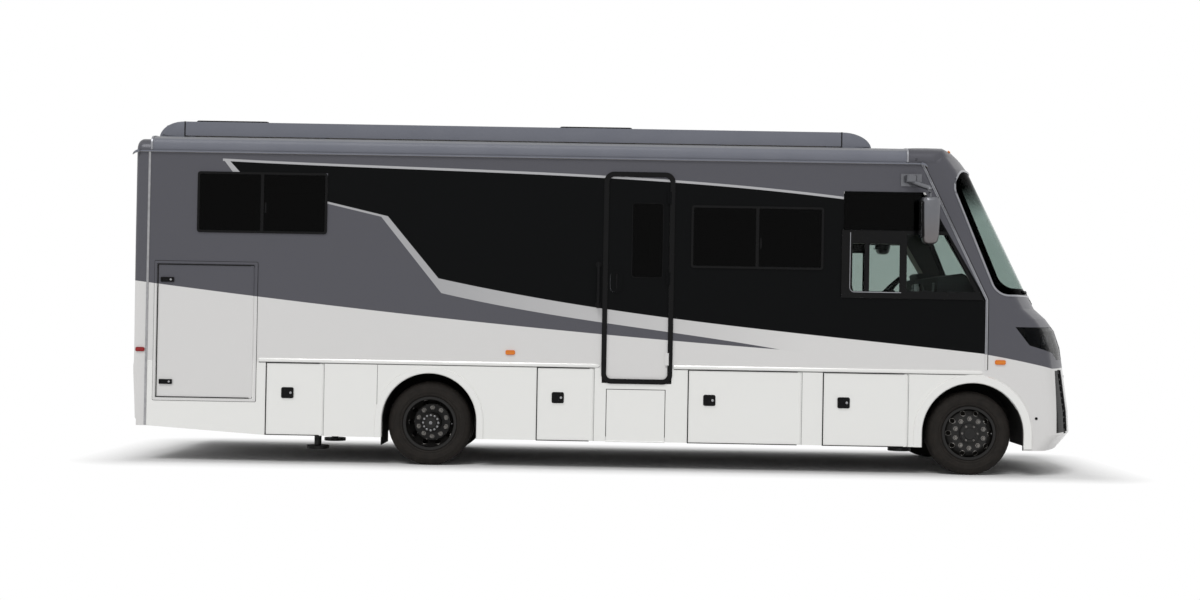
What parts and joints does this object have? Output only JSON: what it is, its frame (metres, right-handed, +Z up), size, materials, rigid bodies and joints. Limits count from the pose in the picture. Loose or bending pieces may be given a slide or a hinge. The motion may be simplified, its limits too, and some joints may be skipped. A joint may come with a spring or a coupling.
{
  "type": "class a motorhome",
  "caption": "Class A motorhome with flush locker doors, a side entry door over a drop step, a wrap-round windscreen, roof side fairings, levelling jacks and twin rear wheels.",
  "frame": {"origin": "on the ground under the middle of the coach: bottom centre of the bounding box", "axes": "+X to the front of the coach, +Y to the driver's (left) side, +Z up"},
  "size_m": [9.4098, 3.16, 3.445],
  "materials": {
    "body_paint": "metallic gloss",
    "white_paint": "gloss",
    "glass": "tinted",
    "black_trim": "satin",
    "chassis_black": "satin",
    "steel": "worn",
    "tyre": "matte",
    "wheel": "gloss",
    "lens": "clear",
    "interior": "soft",
    "seat": "soft",
    "liner": "matte"
  },
  "bodies": {
    "coach": {"air_conditioners": "black_trim", "arch_flares": "white_paint", "chassis_frame": "chassis_black", "dashboard": "interior", "drive_shaft": "chassis_black", "engine": "chassis_black", "entry_door_frame": "black_trim", "floor": "liner", "front_axle": "chassis_black", "front_cap": "body_paint", "grab_handle": "black_trim", "grille": "black_trim", "gutters": "body_paint", "headlights": "lens", "hitch_receiver": "chassis_black", "leaf_springs": "chassis_black", "left_sidewall": "body_paint", "left_skirt": "white_paint", "mirrors": "black_trim", "mud_flaps": "black_trim", "rear_axle": "chassis_black", "rear_cap": "body_paint", "right_sidewall": "body_paint", "right_skirt": "white_paint", "roof": "body_paint", "roof_fairings": "body_paint", "seats": "seat", "side_windows": "glass", "storage_bays": "liner", "taillights": "lens", "tanks": "liner", "windshield": "glass", "wipers": "black_trim"},
    "entry_door": {"entry_door": "body_paint", "entry_door_window": "glass"},
    "entry_step": {"entry_step": "white_paint"},
    "knuckle_right": {"knuckle_right": "chassis_black"},
    "knuckle_left": {"knuckle_left": "chassis_black"},
    "wheel_front_right": {"wheel_front_right": "wheel", "tyre_front_right": "tyre"},
    "wheel_front_left": {"wheel_front_left": "wheel", "tyre_front_left": "tyre"},
    "wheels_rear_right": {"wheel_rear_right": "wheel", "tyres_rear_right": "tyre"},
    "wheels_rear_left": {"wheel_rear_left": "wheel", "tyres_rear_left": "tyre"},
    "steering_wheel": {"steering_wheel": "interior"},
    "bay_door_1_right": {"bay_door_1_right": "white_paint"},
    "bay_door_2_right": {"bay_door_2_right": "white_paint"},
    "bay_door_3_left": {"bay_door_3_left": "white_paint"},
    "bay_door_3_right": {"bay_door_3_right": "white_paint"},
    "bay_door_4_left": {"bay_door_4_left": "white_paint"},
    "bay_door_4_right": {"bay_door_4_right": "white_paint"},
    "jack_front_left": {"jack_front_left": "steel"},
    "jack_front_right": {"jack_front_right": "steel"},
    "jack_rear_left": {"jack_rear_left": "steel"},
    "jack_rear_right": {"jack_rear_right": "steel"},
    "tall_locker_door_left": {"tall_locker_door_left": "body_paint"},
    "tall_locker_door_right": {"tall_locker_door_right": "body_paint"}
  },
  "joints": [
    {"name": "tall_locker_door_right_hinge", "type": "hinge", "parent": "coach", "child": "tall_locker_door_right", "pos_m": [-3.526, -1.268, 1.2775], "axis": [0, 0, 1], "range_deg": [0, 110]},
    {"name": "tall_locker_door_left_hinge", "type": "hinge", "parent": "coach", "child": "tall_locker_door_left", "pos_m": [-3.526, 1.268, 1.2775], "axis": [0, 0, 1], "range_deg": [-110, 0]},
    {"name": "bay_door_1_right_hinge", "type": "hinge", "parent": "coach", "child": "bay_door_1_right", "pos_m": [-2.832, -1.268, 0.63], "axis": [0, 0, 1], "range_deg": [0, 110]},
    {"name": "bay_door_2_right_hinge", "type": "hinge", "parent": "coach", "child": "bay_door_2_right", "pos_m": [-0.19, -1.268, 0.626], "axis": [0, 0, 1], "range_deg": [0, 110]},
    {"name": "bay_door_3_right_hinge", "type": "hinge", "parent": "coach", "child": "bay_door_3_right", "pos_m": [1.838, -1.268, 0.626], "axis": [0, 0, 1], "range_deg": [0, 110]},
    {"name": "bay_door_3_left_hinge", "type": "hinge", "parent": "coach", "child": "bay_door_3_left", "pos_m": [1.838, 1.268, 0.626], "axis": [0, 0, 1], "range_deg": [-110, 0]},
    {"name": "bay_door_4_right_hinge", "type": "hinge", "parent": "coach", "child": "bay_door_4_right", "pos_m": [2.875, -1.268, 0.626], "axis": [0, 0, 1], "range_deg": [0, 110]},
    {"name": "bay_door_4_left_hinge", "type": "hinge", "parent": "coach", "child": "bay_door_4_left", "pos_m": [2.875, 1.268, 0.626], "axis": [0, 0, 1], "range_deg": [-110, 0]},
    {"name": "entry_door_hinge", "type": "hinge", "parent": "coach", "child": "entry_door", "pos_m": [0.54, -1.294, 1.87], "axis": [0, 0, 1], "range_deg": [0, 110]},
    {"name": "entry_step_hinge", "type": "hinge", "parent": "coach", "child": "entry_step", "pos_m": [0.2335, -1.268, 0.274], "axis": [1, 0, 0], "range_deg": [0, 95]},
    {"name": "right_steer", "type": "hinge", "parent": "coach", "child": "knuckle_right", "pos_m": [3.5, -0.95, 0.41], "axis": [0, 0, 1], "range_deg": [-35, 35]},
    {"name": "left_steer", "type": "hinge", "parent": "coach", "child": "knuckle_left", "pos_m": [3.5, 0.95, 0.41], "axis": [0, 0, 1], "range_deg": [-35, 35]},
    {"name": "wheel_front_right_spin", "type": "hinge", "parent": "knuckle_right", "child": "wheel_front_right", "pos_m": [3.5, -1.082, 0.41], "axis": [0, 1, 0], "continuous": true},
    {"name": "wheel_front_left_spin", "type": "hinge", "parent": "knuckle_left", "child": "wheel_front_left", "pos_m": [3.5, 1.082, 0.41], "axis": [0, 1, 0], "continuous": true},
    {"name": "wheels_rear_right_spin", "type": "hinge", "parent": "coach", "child": "wheels_rear_right", "pos_m": [-1.783, -0.939, 0.41], "axis": [0, 1, 0], "continuous": true},
    {"name": "wheels_rear_left_spin", "type": "hinge", "parent": "coach", "child": "wheels_rear_left", "pos_m": [-1.783, 0.939, 0.41], "axis": [0, 1, 0], "continuous": true},
    {"name": "steering_wheel_turn", "type": "hinge", "parent": "coach", "child": "steering_wheel", "pos_m": [2.98, 0.56, 1.83], "axis": [-0.7071, 0, 0.7071], "range_deg": [-560, 560]},
    {"name": "jack_rear_right_drop", "type": "slide", "parent": "coach", "child": "jack_rear_right", "axis": [0, 0, -1], "range_m": [0, 0.092]},
    {"name": "jack_rear_left_drop", "type": "slide", "parent": "coach", "child": "jack_rear_left", "axis": [0, 0, -1], "range_m": [0, 0.092]},
    {"name": "jack_front_right_drop", "type": "slide", "parent": "coach", "child": "jack_front_right", "axis": [0, 0, -1], "range_m": [0, 0.177]},
    {"name": "jack_front_left_drop", "type": "slide", "parent": "coach", "child": "jack_front_left", "axis": [0, 0, -1], "range_m": [0, 0.177]}
  ],
  "couplings": [
    {"joint": "left_steer", "follows": "right_steer", "ratio": 1}
  ]
}
